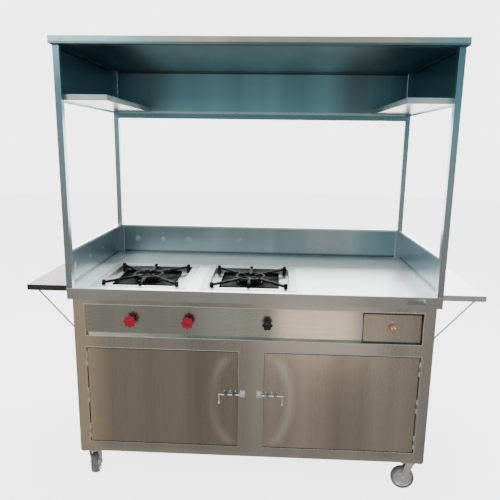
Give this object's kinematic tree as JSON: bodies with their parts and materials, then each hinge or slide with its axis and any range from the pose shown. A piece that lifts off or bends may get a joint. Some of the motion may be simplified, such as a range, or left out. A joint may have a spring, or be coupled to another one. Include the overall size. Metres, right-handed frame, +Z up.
{
  "type": "push vending cart",
  "caption": "Stainless-steel push cart with a food counter, gas burners, splash guard, roofed canopy, doors, drawer, fold-down side tables and swivel casters.",
  "frame": {"origin": "on the floor under the middle of the cart, at the centre of the bottom of its bounding box", "axes": "+Z up, +X to the vendor's right along the length of the counter, -Y towards the vendor's side with the doors, knobs and drawer"},
  "size_m": [1.893, 0.78, 1.863],
  "materials": {
    "steel_sheet": "brushed stainless sheet",
    "canopy_sheet": "brushed stainless sheet, less lit",
    "tube_steel": "ground stainless square tube",
    "zinc_plate": "zinc-plated steel",
    "cast_iron": "black, slightly rough",
    "brass": "satin",
    "red_knob": "semi-gloss red",
    "black_knob": "semi-gloss black",
    "caster_wheel": "grey rubber tyre on a pressed core"
  },
  "bodies": {
    "cart": {"base_frame": "tube_steel", "cabinet_frame": "tube_steel", "face_frame": "steel_sheet", "side_panels": "steel_sheet", "back_panel": "steel_sheet", "cabinet_floor": "steel_sheet", "centre_panel": "steel_sheet", "centre_partition": "steel_sheet", "storage_shelf": "steel_sheet", "control_panel": "steel_sheet", "drawer_case": "tube_steel", "countertop": "steel_sheet", "side_guards": "steel_sheet", "back_guard": "steel_sheet", "upper_posts": "tube_steel", "canopy_frame": "tube_steel", "roof_pan": "steel_sheet", "ceiling_panel": "canopy_sheet", "side_fascias": "canopy_sheet", "back_fascia": "canopy_sheet", "overhead_shelves": "steel_sheet", "burner_pans": "steel_sheet", "burners": "cast_iron", "burner_caps": "cast_iron", "drip_trays": "cast_iron", "gas_manifold": "zinc_plate", "gas_valves": "brass", "feed_pipes": "brass", "bolt_keepers": "zinc_plate", "door_hinges": "zinc_plate", "table_hinges": "zinc_plate", "stay_brackets": "zinc_plate", "caster_plates": "zinc_plate", "caster_bolts": "zinc_plate"},
    "left_door": {"door_left": "steel_sheet"},
    "right_door": {"door_right": "steel_sheet"},
    "left_bolt": {"bolt_left": "zinc_plate"},
    "right_bolt": {"bolt_right": "zinc_plate"},
    "drawer": {"drawer_box": "steel_sheet", "drawer_front": "steel_sheet", "drawer_knob": "brass"},
    "left_knob": {"knob_left": "red_knob"},
    "right_knob": {"knob_right": "red_knob"},
    "main_knob": {"knob_main": "black_knob"},
    "left_grate": {"grate_left": "cast_iron"},
    "right_grate": {"grate_right": "cast_iron"},
    "left_table": {"table_left": "steel_sheet"},
    "right_table": {"table_right": "steel_sheet"},
    "left_stay": {"stay_left": "zinc_plate"},
    "right_stay": {"stay_right": "zinc_plate"},
    "front_left_caster": {"fork_front_left": "zinc_plate"},
    "front_left_wheel": {"wheel_front_left": "caster_wheel"},
    "front_right_caster": {"fork_front_right": "zinc_plate"},
    "front_right_wheel": {"wheel_front_right": "caster_wheel"},
    "back_left_caster": {"fork_back_left": "zinc_plate"},
    "back_left_wheel": {"wheel_back_left": "caster_wheel"},
    "back_right_caster": {"fork_back_right": "zinc_plate"},
    "back_right_wheel": {"wheel_back_right": "caster_wheel"}
  },
  "joints": [
    {"name": "left_door_hinge", "type": "hinge", "parent": "cart", "child": "left_door", "pos_m": [-0.696, -0.3632, 0.411], "axis": [0, 0, -1], "range_deg": [0, 110]},
    {"name": "right_door_hinge", "type": "hinge", "parent": "cart", "child": "right_door", "pos_m": [0.696, -0.3632, 0.411], "axis": [0, 0, 1], "range_deg": [0, 110]},
    {"name": "left_bolt_slide", "type": "slide", "parent": "left_door", "child": "left_bolt", "axis": [-1, 0, 0], "range_m": [0, 0.028]},
    {"name": "right_bolt_slide", "type": "slide", "parent": "right_door", "child": "right_bolt", "axis": [1, 0, 0], "range_m": [0, 0.028]},
    {"name": "drawer_slide", "type": "slide", "parent": "cart", "child": "drawer", "axis": [0, -1, 0], "range_m": [0, 0.25]},
    {"name": "left_knob_turn", "type": "hinge", "parent": "cart", "child": "left_knob", "pos_m": [-0.506, -0.341, 0.752], "axis": [0, -1, 0], "range_deg": [0, 270]},
    {"name": "right_knob_turn", "type": "hinge", "parent": "cart", "child": "right_knob", "pos_m": [-0.266, -0.341, 0.752], "axis": [0, -1, 0], "range_deg": [0, 270]},
    {"name": "main_knob_turn", "type": "hinge", "parent": "cart", "child": "main_knob", "pos_m": [0.065, -0.341, 0.752], "axis": [0, -1, 0], "range_deg": [0, 270]},
    {"name": "left_grate_lift", "type": "slide", "parent": "cart", "child": "left_grate", "axis": [0, 0, 1], "range_m": [0, 0.1]},
    {"name": "right_grate_lift", "type": "slide", "parent": "cart", "child": "right_grate", "axis": [0, 0, 1], "range_m": [0, 0.1]},
    {"name": "left_table_fold", "type": "hinge", "parent": "cart", "child": "left_table", "pos_m": [-0.766, 0, 0.862], "axis": [0, -1, 0], "range_deg": [0, 90]},
    {"name": "left_stay_swing", "type": "hinge", "parent": "cart", "child": "left_stay", "pos_m": [-0.755, 0, 0.685], "axis": [0, -1, 0], "range_deg": [0, 138]},
    {"name": "right_table_fold", "type": "hinge", "parent": "cart", "child": "right_table", "pos_m": [0.766, 0, 0.862], "axis": [0, 1, 0], "range_deg": [0, 90]},
    {"name": "right_stay_swing", "type": "hinge", "parent": "cart", "child": "right_stay", "pos_m": [0.755, 0, 0.685], "axis": [0, 1, 0], "range_deg": [0, 138]},
    {"name": "front_left_swivel", "type": "hinge", "parent": "cart", "child": "front_left_caster", "pos_m": [-0.7, -0.321, 0.13], "axis": [0, 0, 1], "continuous": true},
    {"name": "front_left_roll", "type": "hinge", "parent": "front_left_caster", "child": "front_left_wheel", "pos_m": [-0.70293, -0.29315, 0.05], "axis": [-0.9945, -0.1045, 0], "continuous": true},
    {"name": "front_right_swivel", "type": "hinge", "parent": "cart", "child": "front_right_caster", "pos_m": [0.7, -0.321, 0.13], "axis": [0, 0, 1], "continuous": true},
    {"name": "front_right_roll", "type": "hinge", "parent": "front_right_caster", "child": "front_right_wheel", "pos_m": [0.67227, -0.3171, 0.05], "axis": [-0.1392, -0.9903, 0], "continuous": true},
    {"name": "back_left_swivel", "type": "hinge", "parent": "cart", "child": "back_left_caster", "pos_m": [-0.7, 0.321, 0.13], "axis": [0, 0, 1], "continuous": true},
    {"name": "back_left_roll", "type": "hinge", "parent": "back_left_caster", "child": "back_left_wheel", "pos_m": [-0.67794, 0.30376, 0.05], "axis": [0.6157, 0.788, 0], "continuous": true},
    {"name": "back_right_swivel", "type": "hinge", "parent": "cart", "child": "back_right_caster", "pos_m": [0.7, 0.321, 0.13], "axis": [0, 0, 1], "continuous": true},
    {"name": "back_right_roll", "type": "hinge", "parent": "back_right_caster", "child": "back_right_wheel", "pos_m": [0.67462, 0.30917, 0.05], "axis": [0.4226, -0.9063, 0], "continuous": true}
  ],
  "couplings": [
    {"joint": "left_stay_swing", "follows": "left_table_fold", "ratio": 1.532},
    {"joint": "right_stay_swing", "follows": "right_table_fold", "ratio": 1.532}
  ]
}
